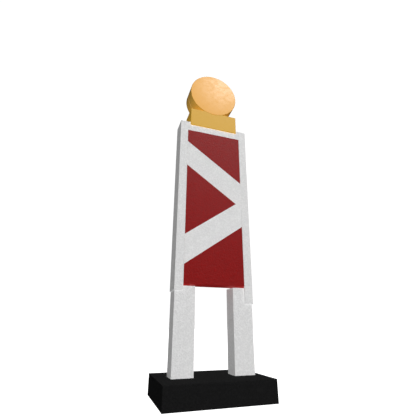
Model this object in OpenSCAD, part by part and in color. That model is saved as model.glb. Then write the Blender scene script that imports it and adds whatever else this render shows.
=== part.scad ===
// Road-works marker panel with a warning lamp.
// A red hollow panel with a white chevron stands between two white rails on two posts in a
// rubber base.  A yellow battery case straddles the top rail, and a two-way amber lamp head
// turns on the case.  Millimetres, +Z up, the front faces -Y, and the origin is the middle
// of the base's underside.

/* [Base] */
// Rubber to the left of the frame
base_left = 37; // [15:1:120]
// Rubber to the right of the frame
base_right = 19; // [15:1:120]
// Rubber in front of the frame
base_front = 86.5; // [50:0.5:160]
// Rubber behind the frame
base_rear = 80; // [50:0.5:160]
// Height of the rubber base
base_h = 58; // [44:1:110]
// Radius of the base's upright corners
base_corner_r = 2.5; // [1:0.5:10]
// Height of the socket floors that the posts stand on
socket_floor = 14; // [13:1:22]

/* [Posts] */
// Width of a post, left to right
post_w = 65; // [54:1:80]
// Depth of a post, front to back
post_d = 55; // [45:1:68]
// Wall of a post's tube
post_wall = 3; // [2:0.5:5]
// Width of the square steel spigot inside each post
spigot_w = 30; // [24:1:34]
// Wall of the spigot
spigot_wall = 2; // [1.5:0.5:4]
// How far a spigot reaches up into the panel
spigot_reach = 206; // [80:1:260]
// Gap between the tops of the posts and the panel
post_gap = 5; // [2:0.5:12]

/* [Frame and panel] */
// Width over the two side rails
frame_w = 260; // [215:1:330]
// Height of the top of the frame above the ground
frame_top = 914; // [740:1:1200]
// Height of the panel's lower edge above the ground
panel_bottom = 313.5; // [240:0.5:400]
// Width of a side rail
rail_w = 28; // [23:0.5:36]
// Height of the top rail
top_rail_h = 37; // [31:0.5:50]
// Thickness of a rail's front and rear flanges
rail_flange = 4.8; // [3:0.1:6]
// Thickness of a rail's outer web
rail_web = 2; // [1.5:0.1:3]
// How far the left rail reaches below the panel
left_rail_drop = 19; // [14:1:80]
// How far the right rail reaches below the panel
right_rail_drop = 54; // [20:1:120]
// Wall of the hollow panel body
panel_wall = 3; // [2:0.5:4]
// Rivets along each side rail
rivet_count = 4; // [2:1:6]

/* [Chevron] */
// Width of a chevron stripe, square to its edges
stripe_w = 80; // [60:1:100]
// Slope of the stripes above the horizontal, in degrees
stripe_angle = 35; // [30:1:45]
// Distance from the tip of the red triangle to the right rail
tip_inset = 20.5; // [10:0.5:40]
// How far the chevron sits above the middle of the panel
chevron_rise = 5; // [-20:1:20]
// Thickness of the reflective sheeting
sheeting_t = 0.5; // [0.3:0.1:1]

/* [Battery case] */
// Width of the battery case
case_w = 184; // [182:1:230]
// How far the case sits to the right of the frame's middle
case_shift = -2; // [-8:0.5:8]
// Wall of the case
case_wall = 3.5; // [2.5:0.1:4]
// How far the case's skirts hang over the frame's top
skirt_drop = 13; // [8:1:24]
// Thickness of a skirt, at least
skirt_t = 4.7; // [3:0.1:6]
// Thickness of the battery door
door_t = 4; // [3:0.1:6]

/* [Lamp head] */
// Radius of the lamp drum
drum_r = 95; // [79:1:114]
// Depth of the lamp drum at its rim
drum_d = 75; // [62:1:90]
// Height of the dome on each lens
lens_crown = 5; // [3:0.5:8]
// Wall of a lens
lens_wall = 2.5; // [1.5:0.1:4]
// How far the drum sits below the top of the case
drum_dip = 7; // [4:0.5:9]
// Radius of the swivel stem
stem_r = 12; // [10:0.5:14]

/* [Batteries] */
// Radius of a battery cell
cell_r = 17.1; // [14:0.1:18]
// Length of a battery cell
cell_l = 61.5; // [50:0.5:74]

/* [Hidden] */
$fn = 64;
eps = 1;             // overrun of a cutting tool
socket_gap = 0.25;   // post in its base socket, each side
slide_gap = 0.2;     // post or panel tongue in a rail, each side
plug_gap = 0.15;     // plug or cap in its tube, each side
seat_gap = 0.3;      // pieces that only lie beside each other
run_gap = 0.08;      // shaft in its bore
swing_gap = 1;       // between the turning drum and the case

// Frame and posts
frame_d = post_d + 2 * (slide_gap + rail_flange);
frame_half = frame_w / 2;
base_w = frame_w + base_left + base_right;
base_d = frame_d + base_front + base_rear;
frame_x = (base_left - base_right) / 2;      // middle of the frame, from the base's middle
frame_y = (base_front - base_rear) / 2;
post_x = frame_half - rail_web - slide_gap - post_w / 2;
post_top = panel_bottom - post_gap;
cap_t = 2;
panel_top = frame_top - top_rail_h;
spigot_gap = 0.2;

// Panel
panel_half = frame_half - rail_w;
panel_front = -frame_d / 2 + sheeting_t;
panel_back = post_d / 2;
tongue_half = frame_half - rail_web - slide_gap;
spigot_stop = panel_bottom + spigot_reach;

// Fasteners
foot_bolt_r = 4;
foot_bolt_x = spigot_w / 2 + 8;
plate_t = 3;
plate_top = 8;
plug_h = 40;
plug_floor = 10;
rivet_r = 2.4;
rivet_head_r = 4.6;
rivet_head_t = 1.6;
screw_r = 2.2;
screw_head_r = 4.4;
screw_head_t = 2.4;
fastener_x = frame_half - rail_w / 2;
tenon_l = rail_w - rail_web - 1.5;

// Lamp case, from the top of the frame upwards
bolt_r = 5;
case_floor = 3;
tray_t = 2;
stem_tail = 1.5;
nut_t = 5.6;
nut_r = 18;
washer_t = 1;
washer_gap = 0.1;
tray_z = frame_top + case_floor;
cell_z = tray_z + tray_t + cell_r;
cell_top = cell_z + cell_r;
stem_end = cell_top + 1.8;
nut_z = stem_end + stem_tail;
washer_z = nut_z + nut_t + washer_gap;
dish_under = washer_z + washer_t + washer_gap;
dish_floor = dish_under + 3.2;
drum_z = dish_floor + swing_gap + drum_r;    // middle of the drum
case_top = drum_z - drum_r + drum_dip;
contact_space = 3.25;
case_d = max(frame_d + 2 * (seat_gap + skirt_t), cell_l + 2 * (contact_space + case_wall));
case_half = case_w / 2;
case_back = case_d / 2;
inner_back = case_back - case_wall;
inner_half = case_half - case_wall;

// Battery bay
bay_gap = 12;                                // half of the free space in the middle
cell_x = [bay_gap + cell_r, bay_gap + 3 * cell_r];
holder_out = bay_gap + 4 * cell_r + 1.5;
opening_half = inner_half - 6;
opening_z0 = tray_z + tray_t;
opening_z1 = dish_under - 1.3;
contact_t = 0.7;
contact_half = 5;                            // half the height of a contact strip

// Battery door
seal_t = 0.8;
door_in = case_back + seal_t;
door_out = door_in + door_t;
door_half = opening_half + 6;
door_z1 = opening_z1 + 4;
knuckle_r = 3.2;
hinge_y = door_in + door_t + 0.7;
hinge_z = frame_top + 1;
door_z0 = hinge_z + 4;
pin_r = 1.5;
knuckle_gap = 0.4;
case_knuckles = [[-70, -50], [-10, 10], [50, 70]];
door_knuckles = [[-50 + knuckle_gap, -10 - knuckle_gap], [10 + knuckle_gap, 50 - knuckle_gap]];

// Locks
lock_r = 6.5;
lock_x = opening_half - 11;
lock_z = opening_z1 - 9;
cam_l = 15;
cam_w = 6;
cam_t = 1.8;
cam_y = inner_back - seat_gap - cam_t;
cam_bore = 3;

// Switch
switch_z = cell_z + 8;
switch_shaft_r = 3;
knob_r = 10;
knob_t = 9;
switch_in = holder_out + 0.6;

// Lamp head
lens_r_in = drum_r - lens_wall;
rim = drum_d / 2;
gasket_t = 1.6;
dome_r = (drum_r * drum_r + lens_crown * lens_crown) / (2 * lens_crown);
boss_r = 5;
boss_ring = lens_r_in - 8.5;
boss_angles = [90, 205, 335];
lens_screw_r = 2;
lens_screw_deep = 24;
stem_bore_r = 7.5;
saddle_half_x = 24;
saddle_half_y = 22;
saddle_top = dish_floor + swing_gap + 17;
chassis_r = boss_ring - boss_r - 3.5;
chassis_t = 2.4;
tab_half = 15;
reflector_r = chassis_r - 14;
reflector_root_r = 10;
reflector_y0 = 3;
reflector_y1 = rim - 9;
reflector_t = 1.5;
board_x0 = 38;
board_x1 = chassis_r - 9;
board_half_z = 18;
wire_r = 1.3;

// ---- Helpers -------------------------------------------------------------------------

// A box from its lowest to its highest corner
module box(lo, hi) {
    translate(lo) cube(hi - lo);
}

// A rod along X, Y or Z, from its start point
module rod_x(from, length, r) {
    translate(from) rotate([0, 90, 0]) cylinder(h = length, r = r);
}

module rod_y(from, length, r) {
    translate(from) rotate([-90, 0, 0]) cylinder(h = length, r = r);
}

module rod_z(from, length, r) {
    translate(from) cylinder(h = length, r = r);
}

// An upright block with round vertical corners, centred on the origin
module rounded_block(w, d, h, r) {
    box([-w / 2 + r, -d / 2, 0], [w / 2 - r, d / 2, h]);
    box([-w / 2, -d / 2 + r, 0], [w / 2, d / 2 - r, h]);
    for (x = [-1, 1], y = [-1, 1])
        translate([x * (w / 2 - r), y * (d / 2 - r), 0]) cylinder(h = h, r = r);
}

// A square or oblong tube standing on Z
module tube(w, d, wall, z0, z1) {
    difference() {
        box([-w / 2, -d / 2, z0], [w / 2, d / 2, z1]);
        box([-w / 2 + wall, -d / 2 + wall, z0 - eps], [w / 2 - wall, d / 2 - wall, z1 + eps]);
    }
}

// A wire along a list of points; each run goes on past its corner to fill it
module wire(points) {
    last = len(points) - 2;
    for (i = [0:last]) {
        step = points[i + 1] - points[i];
        flat = norm([step[0], step[1]]);
        before = i > 0 ? wire_r : 0;
        after = i < last ? wire_r : 0;
        translate(points[i])
            rotate([0, atan2(flat, step[2]), atan2(step[1], step[0])])
                translate([0, 0, -before])
                    cylinder(h = norm(step) + before + after, r = wire_r, $fn = 8);
    }
}

module on_frame() {
    translate([frame_x, frame_y, 0]) children();
}

module on_case() {
    translate([frame_x + case_shift, frame_y, 0]) children();
}

// The place of the left (-1) or right (1) post
module at_post(side) {
    translate([frame_x + side * post_x, frame_y, 0]) children();
}

// ---- Base ----------------------------------------------------------------------------

module rubber_base() {
    color("#1a1a1a") difference() {
        rounded_block(base_w, base_d, base_h, base_corner_r);
        for (side = [-1, 1]) at_post(side) {
            box([-post_w / 2 - socket_gap, -post_d / 2 - socket_gap, socket_floor],
                [post_w / 2 + socket_gap, post_d / 2 + socket_gap, base_h + eps]);
            for (x = [-foot_bolt_x, foot_bolt_x])
                rod_z([x, 0, 0], socket_floor + eps, foot_bolt_r + seat_gap);
        }
        on_frame() box([-plate_half() - seat_gap, -plate_d() / 2 - seat_gap, -eps],
            [plate_half() + seat_gap, plate_d() / 2 + seat_gap, plate_top]);
    }
}

function plate_half() = post_x + post_w / 2;
function plate_d() = post_d - 5;

module retaining_plate() {
    color("silver") difference() {
        on_frame() box([-plate_half(), -plate_d() / 2, plate_top - plate_t],
            [plate_half(), plate_d() / 2, plate_top]);
        for (side = [-1, 1], x = [-foot_bolt_x, foot_bolt_x])
            at_post(side) rod_z([x, 0, 0], plate_top + eps, foot_bolt_r + 0.2);
    }
}

module foot_bolts() {
    head_t = plate_top - plate_t - 1;
    color("gray") for (side = [-1, 1], x = [-foot_bolt_x, foot_bolt_x]) at_post(side) {
        difference() {
            rod_z([x, 0, 1], head_t, foot_bolt_r + 3);
            translate([x, 0, 0]) cylinder(h = 3, r = 3, $fn = 6);
        }
        rod_z([x, 0, 1 + head_t], socket_floor + plug_h - 12 - head_t, foot_bolt_r);
    }
}

module foot_plug(side) {
    w = post_w - 2 * (post_wall + plug_gap);
    d = post_d - 2 * (post_wall + plug_gap);
    s = spigot_w / 2 + plug_gap;
    color("dimgray") at_post(side) difference() {
        box([-w / 2, -d / 2, socket_floor], [w / 2, d / 2, socket_floor + plug_h]);
        box([-s, -s, socket_floor + plug_floor], [s, s, socket_floor + plug_h + eps]);
        for (x = [-foot_bolt_x, foot_bolt_x])
            rod_z([x, 0, socket_floor - eps], plug_h + 2 * eps, foot_bolt_r);
    }
}

// ---- Posts ---------------------------------------------------------------------------

module post(side) {
    color("gainsboro") difference() {
        at_post(side) tube(post_w, post_d, post_wall, socket_floor, post_top - cap_t);
        post_screw_places(side) rod_y([0, 0, 0], frame_d, screw_r);
    }
}

module post_cap(side) {
    w = post_w / 2;
    d = post_d / 2;
    skirt = post_wall + plug_gap;
    s = spigot_w / 2 + spigot_gap;
    color("gainsboro") at_post(side) difference() {
        union() {
            box([-w, -d, post_top - cap_t], [w, d, post_top]);
            box([-w + skirt, -d + skirt, post_top - 16], [w - skirt, d - skirt, post_top - cap_t]);
        }
        box([-s, -s, post_top - 20], [s, s, post_top + eps]);
    }
}

module spigot(side) {
    color("silver") at_post(side)
        tube(spigot_w, spigot_w, spigot_wall, socket_floor + plug_floor, spigot_stop);
}

// The spacer round a spigot, between the post's cap and the panel
module collar(side) {
    w = spigot_w + 2 * (spigot_gap + panel_wall);
    color("firebrick") at_post(side) tube(w, w, panel_wall, post_top, panel_bottom);
}

// Where a screw ties a rail's rear flange to its post
function post_screw_z(side) = side < 0
    ? [(panel_bottom - left_rail_drop + post_top) / 2]
    : [panel_bottom - right_rail_drop + 10, post_top - 12];

module post_screw_places(side) {
    for (z = post_screw_z(side))
        translate([frame_x + side * fastener_x, frame_y, z]) children();
}

module post_screws() {
    tip = post_d / 2 - post_wall + 0.1;
    color("silver") for (side = [-1, 1]) post_screw_places(side) {
        rod_y([0, tip, 0], frame_d / 2 - tip, screw_r);
        slotted_head();
    }
}

// The head of a pan screw on the back of the frame
module slotted_head() {
    difference() {
        rod_y([0, frame_d / 2, 0], screw_head_t, screw_head_r);
        box([-screw_head_r, frame_d / 2 + 1.2, -0.6], [screw_head_r, frame_d / 2 + 9, 0.6]);
    }
}

// ---- Panel ---------------------------------------------------------------------------

module panel_outline(inset, z0, z1) {
    box([-panel_half + inset, panel_front + inset, z0], [panel_half - inset, panel_back - inset, z1]);
    box([-tongue_half + inset, -post_d / 2 + inset, z0], [tongue_half - inset, panel_back - inset, z1]);
}

module panel_body() {
    s = spigot_w / 2 + spigot_gap;
    sleeve = s + panel_wall;
    color("firebrick") difference() {
        on_frame() union() {
            difference() {
                panel_outline(0, panel_bottom, panel_top);
                panel_outline(panel_wall, panel_bottom + panel_wall, panel_top + eps);
            }
            for (side = [-1, 1]) {
                translate([side * post_x, 0, 0])
                    box([-sleeve, -sleeve, panel_bottom], [sleeve, sleeve, spigot_stop + 5]);
                translate([side * panel_half / 3, 0, 0])
                    box([-1.25, panel_front + 1, panel_bottom + 1], [1.25, panel_back - 1, panel_top - 4]);
            }
        }
        for (side = [-1, 1]) at_post(side)
            box([-s, -s, panel_bottom - eps], [s, s, spigot_stop]);
        rivet_places() rod_y([0, 0, 0], frame_d, rivet_r);
    }
}

function rivet_pitch() = (panel_top - panel_bottom) / rivet_count;

module rivet_places() {
    for (side = [-1, 1], i = [0:rivet_count - 1])
        translate([frame_x + side * fastener_x, frame_y, panel_bottom + (i + 0.5) * rivet_pitch()])
            children();
}

module rail_rivets() {
    tail = post_d / 2 - panel_wall - 2;
    color("silver") rivet_places() {
        rod_y([0, tail, 0], frame_d / 2 - tail, rivet_r);
        rod_y([0, frame_d / 2, 0], rivet_head_t, rivet_head_r);
        rod_y([0, tail, 0], 1.9, rivet_r + 1);
    }
}

module rail(side, drop) {
    channel = post_d / 2 + slide_gap;
    color("whitesmoke") difference() {
        translate([frame_x + side * (frame_half - rail_w / 2), frame_y, 0])
            box([-rail_w / 2, -frame_d / 2, panel_bottom - drop], [rail_w / 2, frame_d / 2, frame_top]);
        translate([frame_x + side * (frame_half - rail_web - rail_w / 2), frame_y, 0])
            box([-rail_w / 2, -channel, panel_bottom - drop - eps], [rail_w / 2, channel, frame_top - 3]);
        post_screw_places(side) rod_y([0, 0, 0], frame_d, screw_r);
        rivet_places() rod_y([0, 0, 0], frame_d, rivet_r);
        corner_screw_places() rod_y([0, 0, 0], frame_d, screw_r);
    }
}

function tenon_z() = [panel_top + 4, frame_top - 7];

module top_rail() {
    wall = 4;
    roof = 5;
    tenon_half = post_d / 2;
    color("whitesmoke") difference() {
        on_frame() union() {
            difference() {
                box([-panel_half, -frame_d / 2, panel_top], [panel_half, frame_d / 2, frame_top]);
                box([-panel_half + wall, -frame_d / 2 + wall, panel_top - eps],
                    [panel_half - wall, frame_d / 2 - wall, frame_top - roof]);
            }
            for (side = [-1, 1])
                translate([side * (panel_half + tenon_l / 2 - 0.5), 0, 0])
                    box([-tenon_l / 2 - 0.5, -tenon_half, tenon_z()[0]],
                        [tenon_l / 2 + 0.5, tenon_half, tenon_z()[1]]);
        }
        on_case() rod_z([0, 0, panel_top], top_rail_h + eps, bolt_r + 0.25);
        corner_screw_places() rod_y([0, 0, 0], frame_d, screw_r);
    }
}

module corner_screw_places() {
    for (side = [-1, 1])
        translate([frame_x + side * fastener_x, frame_y, (tenon_z()[0] + tenon_z()[1]) / 2]) children();
}

module corner_screws() {
    tip = post_d / 2 - 14;
    color("silver") corner_screw_places() {
        rod_y([0, tip, 0], frame_d / 2 - tip, screw_r);
        slotted_head();
    }
}

// ---- Chevron -------------------------------------------------------------------------

// The chevron as an outline in X and Z, pointing right
module chevron_outline() {
    rise = tan(stripe_angle);
    band = stripe_w / cos(stripe_angle);
    tip_x = panel_half - tip_inset;
    run_in = (tip_x + panel_half) * rise;
    run_out = 2 * panel_half * rise;
    left = -panel_half;
    polygon([[left, run_in + band], [panel_half, run_in + band - run_out],
        [panel_half, run_out - run_in - band], [left, -run_in - band], [left, -run_in],
        [tip_x, 0], [left, run_in]]);
}

module chevron(y0, y1) {
    trim = 0.4;
    middle = (panel_bottom + panel_top) / 2 + chevron_rise;
    color("white") on_frame() intersection() {
        translate([0, y1, middle]) rotate([90, 0, 0])
            linear_extrude(height = y1 - y0) chevron_outline();
        box([-panel_half, y0 - eps, panel_bottom + trim], [panel_half - trim, y1 + eps, panel_top - trim]);
    }
}

// ---- Battery case --------------------------------------------------------------------

// Radius that the turning drum reaches at height z
function sweep_r(z) = sqrt(max(0, drum_r * drum_r - (drum_z - z) * (drum_z - z)) + rim * rim) + swing_gap;

module dish() {
    steps = 8;
    heights = [for (i = [0:steps]) drum_z - drum_r + drum_dip * i / steps];
    rotate_extrude()
        polygon([[0, dish_floor], [sweep_r(heights[0]), dish_floor],
            for (z = heights) [sweep_r(z) + 0.01, z],
            [sweep_r(case_top) + eps, case_top + eps], [0, case_top + eps]]);
}

module case_knuckle(span, r) {
    rod_x([span[0], hinge_y, hinge_z], span[1] - span[0], r);
}

module battery_case() {
    boss = sweep_r(case_top) + 3;
    color("goldenrod") on_case() difference() {
        union() {
            difference() {
                box([-case_half, -case_back, frame_top - skirt_drop], [case_half, case_back, case_top]);
                box([-inner_half, -inner_back, tray_z], [inner_half, inner_back, case_top - case_wall]);
            }
            intersection() {
                rod_z([0, 0, dish_under], case_top - dish_under, boss);
                box([-case_half, -case_back, dish_under], [case_half, case_back, case_top]);
            }
            for (span = case_knuckles) {
                case_knuckle(span, knuckle_r);
                box([span[0], case_back - 1, hinge_z - knuckle_r], [span[1], hinge_y, hinge_z]);
            }
        }
        box([-case_half - eps, -frame_d / 2 - seat_gap, frame_top - skirt_drop - eps],
            [case_half + eps, frame_d / 2 + seat_gap, frame_top]);
        box([-opening_half, inner_back - eps, opening_z0], [opening_half, case_back + eps, opening_z1]);
        dish();
        rod_z([0, 0, dish_under - eps], 10, stem_r + run_gap);
        rod_z([0, 0, frame_top - eps], case_floor + 2 * eps, bolt_r + 0.25);
        rod_x([inner_half - eps, 0, switch_z], case_wall + 2 * eps, switch_shaft_r + run_gap);
        case_knuckle([-80, 80], pin_r);
    }
}

module mounting_bolt() {
    color("silver") on_case() {
        rod_z([0, 0, frame_top - 21], 21 + case_floor + 2, bolt_r);
        translate([0, 0, tray_z + 2]) cylinder(h = 6, r = 9, $fn = 6);
    }
}

module mounting_washers() {
    color("silver") on_case() for (z = [tray_z, frame_top - 7]) difference() {
        rod_z([0, 0, z], 2, z > frame_top ? 9.5 : 12);
        rod_z([0, 0, z - eps], 4, bolt_r + 0.2);
    }
}

module mounting_nut() {
    color("silver") on_case() difference() {
        translate([0, 0, frame_top - 15]) cylinder(h = 8, r = 9, $fn = 6);
        rod_z([0, 0, frame_top - 16], 10, bolt_r);
    }
}

// ---- Batteries and wiring ------------------------------------------------------------

module battery_holder(side) {
    wall = 1.5;
    lo = bay_gap - wall;
    color("#333333") on_case() mirror([side < 0 ? 1 : 0, 0, 0]) difference() {
        box([lo, -inner_back + 0.1, tray_z], [holder_out, cell_l / 2 - 1, cell_z - contact_half - 0.1]);
        for (x = cell_x) rod_y([x, -cell_l / 2 - 0.6, cell_z], cell_l + 20, cell_r + 0.15);
    }
}

module battery_cells() {
    nub = 1.5;
    color("steelblue") on_case() for (side = [-1, 1], k = [0, 1]) {
        up = side * (k == 0 ? 1 : -1);
        translate([side * cell_x[k], 0, cell_z]) rotate([up * 90, 0, 0]) {
            translate([0, 0, -cell_l / 2]) cylinder(h = cell_l - nub, r = cell_r);
            translate([0, 0, cell_l / 2 - nub]) cylinder(h = nub, r = 4.7);
        }
    }
}

module front_contacts() {
    y = -inner_back + 0.6;
    link = cell_x[0] + 8;
    color("lightgray") on_case() {
        box([-link, y, cell_z - contact_half], [link, y + contact_t, cell_z + contact_half]);
        for (side = [-1, 1]) {
            translate([side * cell_x[1], 0, 0]) {
                box([-7, y, cell_z - contact_half], [7, y + contact_t, cell_z + contact_half]);
                box([-3, y, cell_z + contact_half], [3, y + contact_t, cell_top + 4.5]);
            }
        }
    }
}

lead_y = -inner_back + 1.3 + wire_r;
lead_z = cell_top + 3.2;
connector_half = 5;
connector_z0 = cell_z + 2;
connector_z1 = cell_top - 3;

// Lead from the left terminal to the connector
module negative_lead() {
    color("#111111") on_case() wire([[-cell_x[1], lead_y, lead_z], [0, lead_y, lead_z],
        [0, lead_y, connector_z0 + 6], [0, -connector_half, connector_z0 + 6]]);
}

// Lead from the right terminal to the switch, and on to the connector
module positive_lead() {
    x = (switch_in + inner_half) / 2;
    down_y = nut_r + 4;
    color("crimson") on_case() {
        wire([[cell_x[1], lead_y, lead_z], [x, lead_y, lead_z], [x, -5, lead_z], [x, -5, switch_top()]]);
        wire([[x, 5, switch_top()], [x, 5, lead_z], [x, down_y, lead_z], [0, down_y, lead_z],
            [0, down_y, connector_z0 + 6], [0, connector_half, connector_z0 + 6]]);
    }
}

module lead_connector() {
    color("ivory") on_case() difference() {
        box([-4, -connector_half, connector_z0], [4, connector_half, connector_z1]);
        rod_z([0, 0, connector_z1 - 3], 4, wire_r + 0.2);
    }
}

function switch_top() = switch_z + 8;

module switch_body() {
    color("#222222") on_case() difference() {
        box([switch_in, -9, switch_z - 9], [inner_half, 9, switch_top()]);
        rod_x([switch_in + 2, 0, switch_z], 20, switch_shaft_r + run_gap);
    }
}

module switch_knob() {
    start = switch_in + 2.5;
    color("#222222") on_case() {
        rod_x([start, 0, switch_z], case_half + 1 - start, switch_shaft_r);
        difference() {
            rod_x([case_half + seat_gap, 0, switch_z], knob_t, knob_r);
            for (a = [0:30:330]) translate([0, 0, switch_z]) rotate([a, 0, 0])
                rod_x([case_half + 2, 0, knob_r + 0.7], knob_t, 1.6);
            box([case_half + knob_t - 0.6, -0.8, switch_z + 2],
                [case_half + knob_t + 2, 0.8, switch_z + knob_r]);
        }
    }
}

// ---- Battery door --------------------------------------------------------------------

module case_door() {
    color("goldenrod") on_case() difference() {
        union() {
            box([-door_half, door_in, door_z0], [door_half, door_out, door_z1]);
            for (span = door_knuckles) {
                case_knuckle(span, knuckle_r);
                box([span[0], door_in + 1, hinge_z], [span[1], hinge_y, door_z0 + 2]);
            }
        }
        case_knuckle([-80, 80], pin_r + run_gap);
        for (side = [-1, 1])
            rod_y([side * lock_x, door_in - eps, lock_z], door_t + 2 * eps, lock_r + run_gap);
    }
}

module door_seal() {
    lap = 3;
    color("#444444") on_case() difference() {
        box([-door_half + 1, case_back + 0.05, door_z0 + 0.1], [door_half - 1, door_in, door_z1 - 0.3]);
        box([-door_half + 1 + lap, case_back - eps, door_z0 + 1.6],
            [door_half - 1 - lap, door_in + eps, door_z1 - 0.3 - 2]);
    }
}

module door_contacts() {
    y0 = cell_l / 2 + seat_gap;
    strip = contact_half;
    reach = cell_r + 4.5;
    spring = 7;
    color("lightgray") on_case() for (side = [-1, 1])
        translate([side * (cell_x[0] + cell_x[1]) / 2, 0, cell_z]) difference() {
            box([-reach, y0, -strip], [reach, door_in, strip]);
            for (turn = [0, 1]) mirror([turn, 0, 0])
                box([spring, y0 + contact_t, -strip - eps], [reach + eps, door_in + eps, strip + eps]);
            box([contact_t - spring, y0 + contact_t, -strip - eps],
                [spring - contact_t, door_in - contact_t, strip + eps]);
        }
}

module hinge_pin() {
    color("silver") on_case() {
        case_knuckle([-70.5, 70.5], pin_r);
        for (x = [-72, 70.5]) rod_x([x, hinge_y, hinge_z], 1.5, pin_r + 1);
    }
}

module lock_barrel(side) {
    color("silver") on_case() translate([side * lock_x, 0, lock_z]) difference() {
        union() {
            rod_y([0, cam_y + cam_t + 0.4, 0], door_out - cam_y - cam_t - 0.4, lock_r);
            rod_y([0, door_out + 0.1, 0], 1.8, lock_r + 2);
            rod_y([0, door_out - eps, 0], 2, lock_r);
            rod_y([0, cam_y, 0], cam_t + 1, cam_bore);
        }
        box([-0.9, door_out + 0.6, -5], [0.9, door_out + 4, 5]);
    }
}

// The cam hangs down while the lock is open
module lock_cam(side) {
    color("gray") on_case() translate([side * lock_x, 0, lock_z]) difference() {
        union() {
            rod_y([0, cam_y, 0], cam_t, 5);
            box([-cam_w / 2, cam_y, -cam_l], [cam_w / 2, cam_y + cam_t, 0]);
        }
        rod_y([0, cam_y - eps, 0], cam_t + 2 * eps, cam_bore);
    }
}

// ---- Lamp head -----------------------------------------------------------------------

// The solid shape of one lens up to the plane y_end, less a skin behind the dome
module lens_solid(r, skin, y_end) {
    intersection() {
        rod_y([0, -rim - lens_crown, drum_z], rim + lens_crown + y_end, r);
        translate([0, dome_r - rim - lens_crown, drum_z]) sphere(r = dome_r - skin, $fn = 128);
    }
}

module boss_places() {
    for (a = boss_angles)
        translate([boss_ring * cos(a), 0, drum_z + boss_ring * sin(a)]) children();
}

// One lens; the rear one is drilled for the screws
module lens(drilled) {
    difference() {
        union() {
            difference() {
                lens_solid(drum_r, 0, -gasket_t / 2);
                lens_solid(lens_r_in, lens_wall, eps);
            }
            intersection() {
                boss_places() rod_y([0, -rim - 2, 0], rim + 2 - gasket_t / 2, boss_r);
                lens_solid(drum_r, 1, 0);
            }
        }
        boss_places() rod_y([0, drilled ? -2 * rim : -lens_screw_deep, 0], 2 * rim, lens_screw_r);
        if (drilled) boss_places() rod_y([0, -rim - 4, 0], 9, 4.2);
        rod_z([0, 0, drum_z - drum_r - 5], 12, stem_r + seat_gap);
    }
}

module front_lens() {
    color("orange") on_case() lens(false);
}

module rear_lens() {
    color("orange") on_case() mirror([0, 1, 0]) lens(true);
}

module lens_gasket() {
    color("#333333") on_case() difference() {
        rod_y([0, -gasket_t / 2, drum_z], gasket_t, drum_r - 0.6);
        rod_y([0, -gasket_t, drum_z], 2 * gasket_t, lens_r_in);
        rod_z([0, 0, drum_z - drum_r - 5], 12, stem_r + seat_gap);
    }
}

module lens_screws() {
    head_y = rim - 5;
    color("silver") on_case() boss_places() {
        rod_y([0, 0.5 - lens_screw_deep, 0], head_y + lens_screw_deep - 0.5, lens_screw_r);
        difference() {
            rod_y([0, head_y, 0], 2.6, 3.8);
            box([-3.8, head_y + 1.6, -0.5], [3.8, head_y + 9, 0.5]);
        }
    }
}

module swivel_stem() {
    color("#222222") on_case() difference() {
        union() {
            rod_z([0, 0, stem_end], saddle_top - stem_end, stem_r);
            intersection() {
                box([-saddle_half_x, -saddle_half_y, drum_z - drum_r],
                    [saddle_half_x, saddle_half_y, saddle_top]);
                rod_y([0, -saddle_half_y, drum_z], 2 * saddle_half_y, lens_r_in - seat_gap);
            }
        }
        rod_z([0, 0, stem_end - eps], saddle_top - stem_end + 2 * eps, stem_bore_r);
        box([-tab_half - 0.1, -chassis_t / 2 - 0.1, saddle_top - 8],
            [tab_half + 0.1, chassis_t / 2 + 0.1, saddle_top + eps]);
    }
}

module swivel_nut() {
    color("#222222") on_case() difference() {
        translate([0, 0, nut_z]) cylinder(h = nut_t, r = nut_r, $fn = 6);
        rod_z([0, 0, nut_z - eps], nut_t + 2 * eps, stem_r);
    }
}

module swivel_washer() {
    color("ivory") on_case() difference() {
        rod_z([0, 0, washer_z], washer_t, nut_r - 1);
        rod_z([0, 0, washer_z - eps], washer_t + 2 * eps, stem_r + run_gap);
    }
}

module lamp_chassis() {
    color("ivory") on_case() difference() {
        union() {
            rod_y([0, -chassis_t / 2, drum_z], chassis_t, chassis_r);
            box([-tab_half, -chassis_t / 2, saddle_top - 8], [tab_half, chassis_t / 2, drum_z]);
        }
        rod_z([0, 0, saddle_top - 9], 16, stem_bore_r);
        rod_y([0, -chassis_t, drum_z], 2 * chassis_t, 3);
    }
}

// Depth of the reflector's curve at radius r
function bowl(r) = reflector_y0 + (reflector_y1 - reflector_y0)
    * (r * r - reflector_root_r * reflector_root_r)
    / (reflector_r * reflector_r - reflector_root_r * reflector_root_r);

// A reflector opening towards +Y
module reflector() {
    steps = 10;
    radii = [for (i = [0:steps]) reflector_root_r + (reflector_r - reflector_root_r) * i / steps];
    translate([0, 0, drum_z]) rotate([-90, 0, 0]) rotate_extrude(convexity = 4)
        polygon([for (r = radii) [r, bowl(r)],
            [reflector_r + reflector_t, reflector_y1], [reflector_r + reflector_t, reflector_y1 - 1],
            for (i = [steps:-1:1]) [radii[i], bowl(radii[i]) - reflector_t],
            [reflector_root_r + reflector_t, chassis_t / 2], [reflector_root_r, chassis_t / 2]]);
}

module front_reflector() {
    color("white") on_case() mirror([0, 1, 0]) reflector();
}

module rear_reflector() {
    color("white") on_case() reflector();
}

// A light-emitting diode on its round board, facing +Y
module led() {
    rod_y([0, chassis_t / 2, drum_z], 1.6, 7.5);
    rod_y([0, chassis_t / 2 + 1.6, drum_z], 2.5, 4);
    translate([0, chassis_t / 2 + 4.1, drum_z]) sphere(r = 3.6);
}

module front_led() {
    color("lightyellow") on_case() mirror([0, 1, 0]) led();
}

module rear_led() {
    color("lightyellow") on_case() led();
}

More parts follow.
